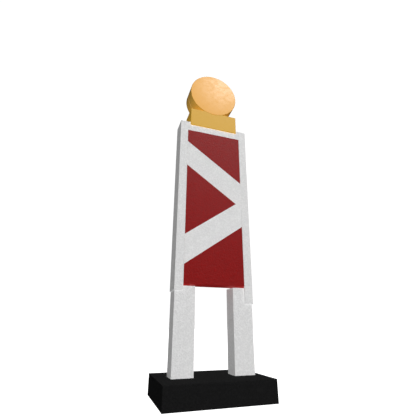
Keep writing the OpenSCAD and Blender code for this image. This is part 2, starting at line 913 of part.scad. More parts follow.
module flasher_board() {
    y = chassis_t / 2;
    color("darkgreen") on_case() translate([0, 0, drum_z]) {
        box([board_x0, y, -board_half_z], [board_x1, y + 1.6, board_half_z]);
        box([board_x0 + 4, y + 1.6, -12], [board_x0 + 14, y + 3.6, -2]);
        box([board_x0 + 4, y + 1.6, 6], [board_x0 + 8, y + 3, 12]);
        for (z = [-8, 0, 8]) rod_y([board_x1 - 6, y + 1.6, z], 4, 2.5);
    }
}

module photocell() {
    color("tan") on_case() {
        rod_z([0, 0, drum_z + chassis_r], 2, 3.5);
        rod_z([0, 0, drum_z + chassis_r + 2], 0.8, 2.6);
    }
}

module head_lead() {
    y = chassis_t / 2 + wire_r + 0.2;
    x = board_x0 + 8;
    z = drum_z - chassis_r + 8;
    color("#111111") on_case() wire([[x, y, drum_z - board_half_z], [x, y, z + 6], [x - 6, y, z],
        [0, y, z], [0, y, saddle_top + 5], [0, 0, saddle_top], [0, 0, connector_z1 - 2]]);
}

// ---- Nodes ---------------------------------------------------------------------------

rubber_base();
retaining_plate();
foot_bolts();
foot_plug(-1);  // left_foot_plug
foot_plug(1);  // right_foot_plug
post(-1);  // left_post
post(1);  // right_post
post_cap(-1);  // left_post_cap
post_cap(1);  // right_post_cap
spigot(-1);  // left_spigot
spigot(1);  // right_spigot
collar(-1);  // left_collar
collar(1);  // right_collar
panel_body();
rail(-1, left_rail_drop);  // left_rail
rail(1, right_rail_drop);  // right_rail
top_rail();
chevron(panel_front - sheeting_t, panel_front);  // front_chevron
chevron(panel_back, panel_back + sheeting_t);  // rear_chevron
rail_rivets();
post_screws();
corner_screws();
battery_case();
mounting_bolt();
mounting_washers();
mounting_nut();
battery_holder(-1);  // left_battery_holder
battery_holder(1);  // right_battery_holder
battery_cells();
front_contacts();
negative_lead();
positive_lead();
lead_connector();
switch_body();
switch_knob();
case_door();
door_seal();
door_contacts();
hinge_pin();
lock_barrel(-1);  // left_lock_barrel
lock_cam(-1);  // left_lock_cam
lock_barrel(1);  // right_lock_barrel
lock_cam(1);  // right_lock_cam
front_lens();
rear_lens();
lens_gasket();
lens_screws();
swivel_stem();
swivel_nut();
swivel_washer();
lamp_chassis();
front_reflector();
rear_reflector();
front_led();
rear_led();
flasher_board();
photocell();
head_lead();
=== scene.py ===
"""Road marker panel with a two-way warning lamp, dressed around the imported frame.

Each sub-assembly is a class.  It reads the places of its pieces from the frame, builds the
meshes that show rounded edges, lathe-turned parts and fastener heads, and gives every piece
and every carried-over node a procedural finish.
"""

from __future__ import annotations

import logging
import math
from collections.abc import Callable, Iterable, Sequence
from dataclasses import dataclass, field
from enum import Enum

import bmesh
import bpy
from mathutils import Euler, Matrix, Vector


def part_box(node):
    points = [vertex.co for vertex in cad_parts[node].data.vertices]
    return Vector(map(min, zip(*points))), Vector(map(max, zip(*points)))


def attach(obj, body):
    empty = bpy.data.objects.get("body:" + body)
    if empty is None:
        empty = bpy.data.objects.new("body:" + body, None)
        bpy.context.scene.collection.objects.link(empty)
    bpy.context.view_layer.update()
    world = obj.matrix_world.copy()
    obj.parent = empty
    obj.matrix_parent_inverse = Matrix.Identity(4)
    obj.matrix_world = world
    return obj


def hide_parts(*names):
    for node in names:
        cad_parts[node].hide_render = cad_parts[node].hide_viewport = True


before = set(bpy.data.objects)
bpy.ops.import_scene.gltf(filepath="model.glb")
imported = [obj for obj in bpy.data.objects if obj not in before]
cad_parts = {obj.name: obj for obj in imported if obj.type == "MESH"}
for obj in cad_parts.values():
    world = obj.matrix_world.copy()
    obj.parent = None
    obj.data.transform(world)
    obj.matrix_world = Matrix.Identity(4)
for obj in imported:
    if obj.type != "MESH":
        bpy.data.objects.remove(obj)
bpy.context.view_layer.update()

LOG = logging.getLogger("marker_panel")
MM = 0.001
WELD = 0.000002
FLAT_ANGLE = math.radians(0.6)
OUTWARD_ANGLE = math.radians(50)
Colour = tuple[float, float, float]
Profile = list[tuple[float, float]]
HeadMaker = Callable[[float, float, float], bmesh.types.BMesh]


class Body(str, Enum):
    """The rigid bodies that a piece can ride on."""

    STAND = "stand"
    LAMP = "lamp_head"
    DOOR = "door"
    LEFT_LOCK = "left_lock"
    RIGHT_LOCK = "right_lock"
    KNOB = "knob"


class Facing(Enum):
    """The way that a fastener's head or a lens looks."""

    FRONT = (math.radians(90), 0.0, 0.0)
    BACK = (math.radians(-90), 0.0, 0.0)
    RIGHT = (0.0, math.radians(90), 0.0)

    def turn(self) -> Matrix:
        """Return the turn that points +Z this way."""
        return Euler(self.value).to_matrix().to_4x4()


# ---- Node trees ----------------------------------------------------------------------


@dataclass
class Graph:
    """Adds nodes to one shader or geometry tree and links them."""

    tree: bpy.types.NodeTree

    def add(self, kind: str, values: dict[str | int, object] | None = None, **settings: object) -> bpy.types.Node:
        """Add one node.

        Args:
            kind: The node's type name.
            values: Socket defaults, or output sockets to link from, by input name or number.
            **settings: Properties of the node itself.

        Returns:
            The new node.
        """
        node = self.tree.nodes.new(kind)
        for key, value in settings.items():
            setattr(node, key, value)
        for key, value in (values or {}).items():
            if isinstance(value, bpy.types.NodeSocket):
                self.tree.links.new(value, node.inputs[key])
            else:
                node.inputs[key].default_value = value
        return node

    def maths(self, operation: str, first: object, second: object = 0.0, clamp: bool = False) -> bpy.types.NodeSocket:
        """Return the result of one arithmetic step on numbers or sockets."""
        node = self.add("ShaderNodeMath", {0: first, 1: second}, operation=operation, use_clamp=clamp)
        return node.outputs[0]

    def blend(self, factor: object, first: object, second: object, mode: str = "MIX") -> bpy.types.NodeSocket:
        """Return a colour mixed from two colours or colour sockets."""
        node = self.add("ShaderNodeMix", {0: factor, 6: first, 7: second}, data_type="RGBA", blend_type=mode)
        return node.outputs[2]

    def ramp(self, value: object, low: float, high: float) -> bpy.types.NodeSocket:
        """Return a value stretched so that low becomes 0 and high becomes 1."""
        node = self.add("ShaderNodeMapRange", {0: value, 1: low, 2: high}, interpolation_type="SMOOTHSTEP")
        return node.outputs[0]


def rgba(colour: Colour) -> tuple[float, float, float, float]:
    """Return a colour with full alpha."""
    return (*colour, 1.0)


@dataclass(frozen=True)
class Effect:
    """A shader node group that several finishes share."""

    name: str
    inputs: tuple[tuple[str, str, object], ...]
    outputs: tuple[tuple[str, str], ...]

    def build(self) -> bpy.types.NodeTree:
        """Return the group's tree, made on first use."""
        tree = bpy.data.node_groups.get(self.name)
        if tree is not None:
            return tree
        tree = bpy.data.node_groups.new(self.name, "ShaderNodeTree")
        for label, kind, default in self.inputs:
            socket = tree.interface.new_socket(name=label, in_out="INPUT", socket_type=kind)
            if default is not None:
                socket.default_value = default
        for label, kind in self.outputs:
            tree.interface.new_socket(name=label, in_out="OUTPUT", socket_type=kind)
        graph = Graph(tree)
        source = graph.add("NodeGroupInput")
        target = graph.add("NodeGroupOutput")
        self.wire(graph, source, target)
        return tree

    def wire(self, graph: Graph, source: bpy.types.Node, target: bpy.types.Node) -> None:
        """Fill the group; each effect does this in its own way."""
        raise NotImplementedError

    def use(self, graph: Graph, values: dict[str, object]) -> bpy.types.Node:
        """Place the group in a material's tree with its own values."""
        return graph.add("ShaderNodeGroup", values, node_tree=self.build())


class GrainEffect(Effect):
    """Moulded grain: rounded pebbles with finer tooth on top."""

    def wire(self, graph: Graph, source: bpy.types.Node, target: bpy.types.Node) -> None:
        """Mix a pebble pattern with fine noise into one height and one mask."""
        vector, scale = source.outputs["Vector"], source.outputs["Scale"]
        pebbles = graph.add("ShaderNodeTexVoronoi", {"Vector": vector, "Scale": scale}, feature="SMOOTH_F1")
        tooth = graph.add("ShaderNodeTexNoise", {
            "Vector": vector, "Scale": graph.maths("MULTIPLY", scale, 2.6), "Detail": 3.0, "Roughness": 0.6})
        swell = graph.add("ShaderNodeTexNoise", {
            "Vector": vector, "Scale": graph.maths("MULTIPLY", scale, 0.35), "Detail": 2.0})
        fine = graph.maths("MULTIPLY", tooth.outputs[0], source.outputs["Tooth"])
        base = graph.maths("ADD", graph.maths("MULTIPLY", pebbles.outputs["Distance"], 0.6), fine)
        height = graph.maths("ADD", base, graph.maths("MULTIPLY", swell.outputs[0], 0.3))
        graph.tree.links.new(height, target.inputs["Height"])
        graph.tree.links.new(graph.ramp(height, 0.45, 1.05), target.inputs["Mask"])


class WearEffect(Effect):
    """Rubbed edges: where a rounded normal leaves the true one, broken up by noise."""

    def wire(self, graph: Graph, source: bpy.types.Node, target: bpy.types.Node) -> None:
        """Compare the bevelled normal with the surface's own and thin the result out."""
        rounded = graph.add("ShaderNodeBevel", {"Radius": source.outputs["Radius"]}, samples=6)
        actual = graph.add("ShaderNodeNewGeometry")
        turn = graph.add("ShaderNodeVectorMath", {0: rounded.outputs[0], 1: actual.outputs["Normal"]},
                         operation="DOT_PRODUCT")
        edge = graph.ramp(graph.maths("SUBTRACT", 1.0, turn.outputs["Value"]), 0.015, 0.16)
        breaks = graph.add("ShaderNodeTexNoise", {
            "Vector": source.outputs["Vector"], "Scale": source.outputs["Scale"], "Detail": 5.0})
        rubbed = graph.maths("MULTIPLY", edge, graph.ramp(breaks.outputs[0], 0.42, 0.68))
        graph.tree.links.new(graph.maths("MULTIPLY", rubbed, source.outputs["Amount"], clamp=True),
                             target.inputs["Mask"])


class DustEffect(Effect):
    """Road dust that lies on faces which look up, in loose patches."""

    def wire(self, graph: Graph, source: bpy.types.Node, target: bpy.types.Node) -> None:
        """Weight patchy noise by how far the surface looks upwards."""
        surface = graph.add("ShaderNodeTexCoord")
        parts = graph.add("ShaderNodeSeparateXYZ", {0: surface.outputs["Normal"]})
        upward = graph.ramp(parts.outputs["Z"], 0.1, 0.95)
        patches = graph.add("ShaderNodeTexNoise", {
            "Vector": source.outputs["Vector"], "Scale": source.outputs["Scale"], "Detail": 4.0,
            "Roughness": 0.65})
        film = graph.maths("ADD", graph.maths("MULTIPLY", upward, 0.8), 0.2)
        lying = graph.maths("MULTIPLY", graph.ramp(patches.outputs[0], 0.35, 0.75), film)
        graph.tree.links.new(graph.maths("MULTIPLY", lying, source.outputs["Amount"], clamp=True),
                             target.inputs["Mask"])


class MottleEffect(Effect):
    """Slow, slight variation of a colour over a moulded or painted surface."""

    def wire(self, graph: Graph, source: bpy.types.Node, target: bpy.types.Node) -> None:
        """Shift the colour's value a little either way with two sizes of noise."""
        vector = source.outputs["Vector"]
        broad = graph.add("ShaderNodeTexNoise", {"Vector": vector, "Scale": source.outputs["Scale"]})
        speck = graph.add("ShaderNodeTexNoise", {
            "Vector": vector, "Scale": graph.maths("MULTIPLY", source.outputs["Scale"], 30.0), "Detail": 2.0})
        both = graph.maths("ADD", graph.maths("MULTIPLY", broad.outputs[0], 0.6),
                           graph.maths("MULTIPLY", speck.outputs[0], 0.4))
        swing = graph.maths("MULTIPLY", graph.maths("SUBTRACT", both, 0.5), source.outputs["Spread"])
        value = graph.maths("ADD", 1.0, graph.maths("MULTIPLY", swing, 2.0))
        shifted = graph.add("ShaderNodeHueSaturation", {"Color": source.outputs["Color"], "Value": value})
        graph.tree.links.new(shifted.outputs[0], target.inputs["Color"])


VECTOR, FLOAT, COLOUR = "NodeSocketVector", "NodeSocketFloat", "NodeSocketColor"
GRAIN = GrainEffect("moulded_grain", (("Vector", VECTOR, None), ("Scale", FLOAT, 200.0), ("Tooth", FLOAT, 0.5)),
                    (("Height", FLOAT), ("Mask", FLOAT)))
WEAR = WearEffect("rubbed_edges", (("Vector", VECTOR, None), ("Radius", FLOAT, 0.002), ("Amount", FLOAT, 0.5),
                                   ("Scale", FLOAT, 90.0)), (("Mask", FLOAT),))
DUST = DustEffect("road_dust", (("Vector", VECTOR, None), ("Amount", FLOAT, 0.2), ("Scale", FLOAT, 18.0)),
                  (("Mask", FLOAT),))
MOTTLE = MottleEffect("colour_mottle", (("Vector", VECTOR, None), ("Color", COLOUR, None), ("Spread", FLOAT, 0.05),
                                        ("Scale", FLOAT, 12.0)), (("Color", COLOUR),))


# ---- Finishes ------------------------------------------------------------------------


@dataclass(frozen=True)
class Finish:
    """A moulded, painted or plated surface with grain, mottle, rubbed edges and dust."""

    name: str
    colour: Colour
    roughness: float = 0.5
    metallic: float = 0.0
    coat: float = 0.0
    specular: float = 0.5
    grain_scale: float = 220.0
    grain_depth: float = 0.00012
    grain_tone: float = 0.04
    tooth: float = 0.5
    mottle: float = 0.04
    mottle_scale: float = 12.0
    wear: float = 0.35
    wear_radius: float = 0.0025
    wear_colour: Colour = (0.55, 0.54, 0.52)
    dust: float = 0.08
    dust_colour: Colour = (0.32, 0.29, 0.25)

    def build(self) -> bpy.types.Material:
        """Return the finish's material, made on first use."""
        label = self.name + "_finish"
        material = bpy.data.materials.get(label)
        if material is not None:
            return material
        material = bpy.data.materials.new(label)
        material.use_nodes = True
        graph = Graph(material.node_tree)
        shader = material.node_tree.nodes["Principled BSDF"]
        vector = graph.add("ShaderNodeTexCoord").outputs["Object"]
        shader.inputs["Metallic"].default_value = self.metallic
        shader.inputs["Coat Weight"].default_value = self.coat
        shader.inputs["Coat Roughness"].default_value = 0.2
        shader.inputs["Specular IOR Level"].default_value = self.specular
        height, tone = self.relief(graph, vector)
        colour = self.paint(graph, vector, tone)
        wear = WEAR.use(graph, {"Vector": vector, "Radius": self.wear_radius, "Amount": self.wear})
        dust = DUST.use(graph, {"Vector": vector, "Amount": self.dust})
        colour = graph.blend(wear.outputs["Mask"], colour, rgba(self.wear_colour))
        colour = graph.blend(dust.outputs["Mask"], colour, rgba(self.dust_colour))
        rough = graph.maths("ADD", self.roughness, graph.maths("MULTIPLY", graph.maths("SUBTRACT", tone, 0.5), 0.12))
        rough = graph.maths("ADD", rough, graph.maths("MULTIPLY", dust.outputs["Mask"], 0.3), clamp=True)
        graph.tree.links.new(colour, shader.inputs["Base Color"])
        graph.tree.links.new(rough, shader.inputs["Roughness"])
        bump = graph.add("ShaderNodeBump", {"Strength": 1.0, "Distance": self.grain_depth, "Height": height})
        graph.tree.links.new(bump.outputs[0], shader.inputs["Normal"])
        self.finish_shader(graph, shader, vector)
        return material

    def relief(self, graph: Graph, vector: bpy.types.NodeSocket) -> tuple[bpy.types.NodeSocket, bpy.types.NodeSocket]:
        """Return the surface's height and the mask that tints it."""
        grain = GRAIN.use(graph, {"Vector": vector, "Scale": self.grain_scale, "Tooth": self.tooth})
        return grain.outputs["Height"], grain.outputs["Mask"]

    def paint(self, graph: Graph, vector: bpy.types.NodeSocket, tone: bpy.types.NodeSocket) -> bpy.types.NodeSocket:
        """Return the surface's colour before wear and dust."""
        mottled = MOTTLE.use(graph, {
            "Vector": vector, "Color": rgba(self.colour), "Spread": self.mottle, "Scale": self.mottle_scale})
        darker = tuple(channel * (1 - 2 * self.grain_tone) for channel in self.colour)
        return graph.blend(graph.maths("MULTIPLY", graph.maths("SUBTRACT", 1.0, tone), 0.5),
                           mottled.outputs["Color"], rgba(darker))

    def finish_shader(self, graph: Graph, shader: bpy.types.Node, vector: bpy.types.NodeSocket) -> None:
        """Set what only some finishes have; a plain one has nothing more."""


@dataclass(frozen=True)
class SheetingFinish(Finish):
    """Reflective sheeting: the white grain with a faint honeycomb of sealed cells."""

    cell: float = 0.0028

    def relief(self, graph: Graph, vector: bpy.types.NodeSocket) -> tuple[bpy.types.NodeSocket, bpy.types.NodeSocket]:
        """Add the cells' raised walls to the film's own fine texture."""
        grain = GRAIN.use(graph, {"Vector": vector, "Scale": self.grain_scale, "Tooth": self.tooth})
        cells = graph.add("ShaderNodeTexVoronoi", {"Vector": vector, "Scale": 1.0 / self.cell, "Randomness": 0.25},
                          feature="DISTANCE_TO_EDGE")
        wall = graph.maths("SUBTRACT", 1.0, graph.ramp(cells.outputs["Distance"], 0.02, 0.09))
        height = graph.maths("ADD", grain.outputs["Height"], graph.maths("MULTIPLY", wall, 0.25))
        return height, grain.outputs["Mask"]


@dataclass(frozen=True)
class LensFinish(Finish):
    """Amber lens plastic with an emission glow: on the LEDs it is their own light, on the lens face it is painted
    light.
    """

    glow: float = 0.0
    glow_colour: Colour = (1.0, 0.45, 0.12)

    def finish_shader(self, graph: Graph, shader: bpy.types.Node, vector: bpy.types.NodeSocket) -> None:
        """Add the emission glow, softly uneven; on the lens face this is painted light."""
        shader.inputs["Emission Strength"].default_value = self.glow
        soft = graph.add("ShaderNodeTexNoise", {"Vector": vector, "Scale": 14.0, "Detail": 1.0})
        dim = tuple(channel * 0.86 for channel in self.glow_colour)
        graph.tree.links.new(graph.blend(soft.outputs[0], rgba(self.glow_colour), rgba(dim)),
                             shader.inputs["Emission Color"])


@dataclass(frozen=True)
class ZincFinish(Finish):
    """Zinc-plated steel with a faint spangle and brushed streaks."""

    spangle: float = 140.0

    def paint(self, graph: Graph, vector: bpy.types.NodeSocket, tone: bpy.types.NodeSocket) -> bpy.types.NodeSocket:
        """Tint the metal crystal by crystal."""
        crystals = graph.add("ShaderNodeTexVoronoi", {"Vector": vector, "Scale": self.spangle})
        shade = graph.add("ShaderNodeSeparateColor", {0: crystals.outputs["Color"]})
        mottled = MOTTLE.use(graph, {"Vector": vector, "Color": rgba(self.colour), "Spread": self.mottle})
        darker = tuple(channel * 0.78 for channel in self.colour)
        return graph.blend(graph.maths("MULTIPLY", shade.outputs["Red"], 0.55), mottled.outputs["Color"], rgba(darker))


@dataclass(frozen=True)
class BoardFinish(Finish):
    """Circuit board: solder mask with pale tracks in a square lattice."""

    track: float = 420.0

    def paint(self, graph: Graph, vector: bpy.types.NodeSocket, tone: bpy.types.NodeSocket) -> bpy.types.NodeSocket:
        """Lay tracks where a blocky noise crosses its middle."""
        blocks = graph.add("ShaderNodeTexVoronoi", {"Vector": vector, "Scale": self.track, "Randomness": 0.3},
                           distance="CHEBYCHEV")
        track = graph.ramp(blocks.outputs["Distance"], 0.36, 0.44)
        return graph.blend(track, rgba(self.colour), rgba(tuple(channel * 2.2 + 0.02 for channel in self.colour)))


WHITE = (0.82, 0.82, 0.82)
WHITE_PLASTIC = Finish("white_plastic", WHITE, 0.62, specular=0.17, grain_scale=240.0, grain_depth=0.0013,
                       grain_tone=0.17, mottle=0.03, wear=0.3, wear_colour=(0.5, 0.49, 0.47), dust=0.03)
WHITE_SHEETING = SheetingFinish("white_sheeting", (0.88, 0.88, 0.88), 0.6, specular=0.17, grain_scale=240.0,
                                grain_depth=0.0012, grain_tone=0.15, mottle=0.03, wear=0.1, dust=0.01)
RED_PLASTIC = Finish("red_plastic", (0.275, 0.0035, 0.0035), 0.62, specular=0.17, grain_scale=240.0,
                     grain_depth=0.0013, grain_tone=0.2, mottle=0.04, wear=0.3,
                     wear_colour=(0.4, 0.06, 0.05), dust=0.004)
BASE_RUBBER = Finish("base_rubber", (0.0118, 0.0118, 0.012), 0.8, specular=0.0, grain_scale=200.0,
                     grain_depth=0.0026, grain_tone=0.2, mottle=0.16, wear=0.18,
                     wear_colour=(0.03, 0.03, 0.03), dust=0.01, dust_colour=(0.03, 0.029, 0.026))
CASE_PLASTIC = Finish("case_plastic", (0.677, 0.381, 0.035), 0.58, specular=0.2, grain_scale=420.0,
                      grain_depth=0.0002, grain_tone=0.01, mottle=0.01, wear=0.2,
                      wear_colour=(0.6, 0.4, 0.15), dust=0.01)
BLACK_PLASTIC = Finish("black_plastic", (0.018, 0.018, 0.019), 0.45, grain_scale=500.0, wear=0.3,
                       wear_colour=(0.09, 0.09, 0.09))
IVORY_PLASTIC = Finish("ivory_plastic", (0.62, 0.58, 0.47), 0.5, grain_scale=500.0, wear=0.2)
ZINC_STEEL = ZincFinish("zinc_steel", (0.56, 0.57, 0.58), 0.42, metallic=0.5, grain_scale=700.0,
                        grain_depth=0.00003, wear=0.3, wear_colour=(0.75, 0.75, 0.74), dust=0.06)
CONTACT_STEEL = ZincFinish("contact_steel", (0.66, 0.65, 0.6), 0.35, metallic=0.5, grain_scale=900.0,
                           grain_depth=0.00002, wear=0.2, dust=0.0, spangle=400.0)
RIVET_ALUMINIUM = Finish("rivet_aluminium", (0.68, 0.69, 0.7), 0.42, metallic=0.5, grain_scale=900.0,
                         grain_depth=0.00003, wear=0.3, dust=0.1)
SEAL_FOAM = Finish("seal_foam", (0.03, 0.03, 0.032), 0.9, grain_scale=900.0, grain_depth=0.0002,
                   grain_tone=0.1, wear=0.0, dust=0.05)
AMBER_SILICONE = Finish("amber_silicone", (0.7, 0.36, 0.07), 0.5, grain_scale=700.0, wear=0.0, dust=0.02)
# One amber plastic in two copies: the face is brighter and glows as painted light, the side is darker as painted
# shade.
AMBER_FACE_PAINTED_LIGHT = LensFinish("amber_lens_face", (0.745, 0.372, 0.062), 0.5, specular=0.27, grain_scale=60.0,
                        grain_depth=0.00002, grain_tone=0.0, mottle=0.006, wear=0.1, dust=0.0, glow=0.11,
                        glow_colour=(1.0, 0.55, 0.2))
AMBER_SIDE_PAINTED_SHADE = LensFinish("amber_lens_side", (0.52, 0.29, 0.046), 0.5, specular=0.2, grain_scale=60.0,
                        grain_depth=0.00002, grain_tone=0.0, mottle=0.006, wear=0.1, dust=0.0)
MIRROR_COAT = Finish("mirror_coat", (0.88, 0.88, 0.88), 0.08, metallic=1.0, grain_scale=80.0,
                     grain_depth=0.00001, grain_tone=0.01, wear=0.0, dust=0.02)
LED_RESIN = LensFinish("led_resin", (0.85, 0.72, 0.3), 0.15, coat=0.5, wear=0.0, dust=0.0, glow=0.5)
CIRCUIT_BOARD = BoardFinish("circuit_board", (0.015, 0.13, 0.045), 0.35, coat=0.3, grain_scale=900.0, wear=0.0)
CELL_JACKET = Finish("cell_jacket", (0.045, 0.12, 0.27), 0.28, coat=0.4, grain_scale=600.0,
                     grain_depth=0.00002, wear=0.15, wear_colour=(0.3, 0.34, 0.4), dust=0.0)
CELL_STEEL = ZincFinish("cell_steel", (0.62, 0.62, 0.6), 0.35, metallic=0.5, grain_scale=900.0,
                        grain_depth=0.00002, wear=0.0, dust=0.0, spangle=500.0)
RED_WIRE = Finish("red_wire", (0.42, 0.02, 0.015), 0.4, grain_scale=900.0, wear=0.0, dust=0.02)
BLACK_WIRE = Finish("black_wire", (0.015, 0.015, 0.015), 0.4, grain_scale=900.0, wear=0.0, dust=0.02)


# ---- Meshes --------------------------------------------------------------------------


def add_object(name: str, mesh: bpy.types.Mesh) -> bpy.types.Object:
    """Link a mesh to the scene as an object at the origin."""
    piece = bpy.data.objects.new(name, mesh)
    bpy.context.scene.collection.objects.link(piece)
    return piece


def to_mesh(name: str, shape: bmesh.types.BMesh) -> bpy.types.Mesh:
    """Write a bmesh into a new mesh and free it."""
    mesh = bpy.data.meshes.new(name)
    shape.to_mesh(mesh)
    shape.free()
    return mesh


def applied(piece: bpy.types.Object) -> bpy.types.Object:
    """Turn an object's modifiers into plain mesh.

    Args:
        piece: An object with live modifiers.

    Returns:
        The same object, with the evaluated mesh and no modifier.
    """
    graph = bpy.context.evaluated_depsgraph_get()
    mesh = bpy.data.meshes.new_from_object(piece.evaluated_get(graph), depsgraph=graph)
    mesh.name = piece.name
    piece.modifiers.clear()
    piece.data = mesh
    return piece


def dress(piece: bpy.types.Object, *finishes: Finish) -> bpy.types.Object:
    """Give a piece its materials, in slot order."""
    slots = piece.data.materials
    slots.clear()
    for finish in finishes:
        slots.append(finish.build())
    return piece


def shade_by_angle(mesh: bpy.types.Mesh, degrees: float = 32.0) -> None:
    """Shade smooth, with creases where faces meet at more than the angle."""
    mesh.shade_smooth()
    mesh.set_sharp_from_angle(angle=math.radians(degrees))


def level_flats(mesh: bpy.types.Mesh, slack: float = 3.0) -> None:
    """Give each flat face its true normal at the few corners that lean away from it.

    Args:
        mesh: A mesh whose flat faces already have level normals at most corners.
        slack: Degrees that the middle one of a face's corners may lean before it counts as curved.
    """
    normals = [corner.vector.copy() for corner in mesh.corner_normals]
    for polygon in mesh.polygons:
        leans = sorted(normals[loop].angle(polygon.normal, math.pi) for loop in polygon.loop_indices)
        if leans[(len(leans) - 1) // 2] < math.radians(slack):
            for loop in polygon.loop_indices:
                normals[loop] = polygon.normal.copy()
    mesh.normals_split_custom_set(normals)


def welded(node: str) -> bmesh.types.BMesh:
    """Return a merged copy of a node's mesh with its flat faces whole."""
    shape = bmesh.new()
    shape.from_mesh(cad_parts[node].data)
    bmesh.ops.remove_doubles(shape, verts=shape.verts[:], dist=WELD)
    bmesh.ops.dissolve_limit(shape, angle_limit=FLAT_ANGLE, verts=shape.verts[:], edges=shape.edges[:])
    return shape


@dataclass(frozen=True)
class Softener:
    """Rounds a node's long outward edges, as a moulding or a folded sheet has them."""

    width: float = 1.2 * MM
    shortest: float = 7.0 * MM
    segments: int = 3

    def build(self, node: str, name: str) -> bpy.types.Object:
        """Return a rounded copy of a node.

        Args:
            node: The node to copy.
            name: The new piece's name.

        Returns:
            The piece, with no material.
        """
        shape = welded(node)
        weight = shape.edges.layers.float.new("bevel_weight_edge")
        for edge in shape.edges:
            outward = len(edge.link_faces) == 2 and edge.calc_face_angle_signed(0.0) > OUTWARD_ANGLE
            if outward and edge.calc_length() > self.shortest:
                edge[weight] = 1.0
        piece = add_object(name, to_mesh(name, shape))
        bevel = piece.modifiers.new("edges", "BEVEL")
        bevel.limit_method = "WEIGHT"
        bevel.width = self.width
        bevel.segments = self.segments
        bevel.use_clamp_overlap = False
        bevel.miter_outer = "MITER_SHARP"
        applied(piece)
        shade_by_angle(piece.data, 40.0)
        flats = piece.modifiers.new("flats", "WEIGHTED_NORMAL")
        flats.keep_sharp = True
        applied(piece)
        level_flats(piece.data)
        return piece


def lathe(profile: Profile, segments: int = 96) -> bmesh.types.BMesh:
    """Turn a profile about Z.

    Args:
        profile: (radius, height) points from one end to the other; a radius of 0 closes an end.
        segments: Faces around.

    Returns:
        A bmesh whose normals point outwards.
    """
    shape = bmesh.new()
    rings: list[list[bmesh.types.BMVert]] = []
    for radius, height in profile:
        if radius < 1e-6:
            rings.append([shape.verts.new((0.0, 0.0, height))])
            continue
        turns = [2 * math.pi * i / segments for i in range(segments)]
        rings.append([shape.verts.new((radius * math.cos(a), radius * math.sin(a), height)) for a in turns])
    pairs = list(zip(rings, rings[1:]))
    if len(rings[0]) > 1 and len(rings[-1]) > 1:
        pairs.append((rings[-1], rings[0]))
    for low, high in pairs:
        for i in range(segments):
            j = (i + 1) % segments
            corners = [low[i % len(low)], low[j % len(low)], high[j % len(high)], high[i % len(high)]]
            unique = list(dict.fromkeys(corners))
            if len(unique) > 2:
                shape.faces.new(unique)
    bmesh.ops.recalc_face_normals(shape, faces=shape.faces[:])
    return shape


def arc(centre: tuple[float, float], radius: float, start: float, end: float, steps: int = 6) -> Profile:
    """Return points on an arc; angles are in degrees from the radius axis towards the height axis."""
    angles = [math.radians(start + (end - start) * i / steps) for i in range(steps + 1)]
    return [(centre[0] + radius * math.cos(a), centre[1] + radius * math.sin(a)) for a in angles]


@dataclass(frozen=True)
class Island:
    """One loose part of a node, by its box."""

    low: Vector
    high: Vector

    @property
    def middle(self) -> Vector:
        """The middle of the box."""
        return (self.low + self.high) / 2


def islands(node: str) -> list[Island]:
    """Return the loose parts of a node, in order of place; parts that touch come as one."""
    shape = bmesh.new()
    shape.from_mesh(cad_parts[node].data)
    bmesh.ops.remove_doubles(shape, verts=shape.verts[:], dist=WELD)
    shape.verts.ensure_lookup_table()
    seen: set[int] = set()
    found: list[Island] = []
    for start in shape.verts:
        if start.index in seen:
            continue
        seen.add(start.index)
        queue, points = [start], []
        while queue:
            vert = queue.pop()
            points.append(vert.co.copy())
            for edge in vert.link_edges:
                other = edge.other_vert(vert)
                if other.index not in seen:
                    seen.add(other.index)
                    queue.append(other)
        low = Vector([min(p[i] for p in points) for i in range(3)])
        high = Vector([max(p[i] for p in points) for i in range(3)])
        found.append(Island(low, high))
    shape.free()
    return sorted(found, key=lambda part: tuple(round(value, 5) for value in part.middle))


